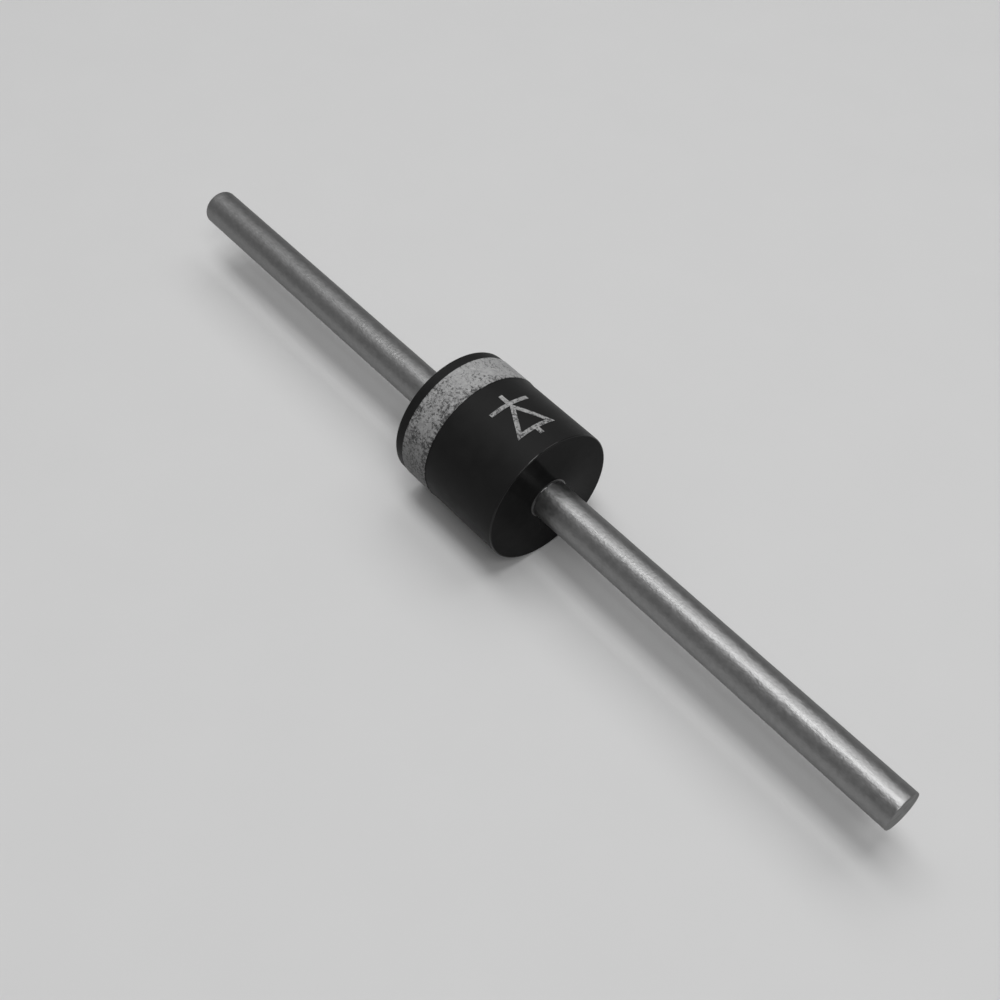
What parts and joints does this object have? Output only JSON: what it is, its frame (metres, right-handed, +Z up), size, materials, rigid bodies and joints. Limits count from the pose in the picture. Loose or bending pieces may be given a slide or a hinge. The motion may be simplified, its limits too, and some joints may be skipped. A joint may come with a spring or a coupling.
{
  "type": "axial rectifier diode",
  "caption": "Large moulded axial-lead rectifier diode: a short black epoxy barrel with a light grey cathode band and a thick straight tinned lead out of each end face.",
  "frame": {"origin": "middle of the moulded barrel, on the lead axis, which is also the middle of the whole part", "axes": "+X along the lead axis, out of the anode lead (the cathode band is on the -X half); +Z up, through the side of the barrel that carries the polarity mark"},
  "size_m": [0.0594, 0.0086, 0.0086],
  "materials": {
    "moulding_compound": "satin",
    "tinned_copper": "satin",
    "band_ink": "matte",
    "silicon": "gloss",
    "solder": "satin",
    "silicone_coating": "satin"
  },
  "bodies": {
    "root": {"epoxy_body": "moulding_compound", "anode_lead": "tinned_copper", "cathode_lead": "tinned_copper", "cathode_band": "band_ink", "silicon_die": "silicon", "anode_solder": "solder", "cathode_solder": "solder", "junction_coating": "silicone_coating"}
  },
  "joints": []
}
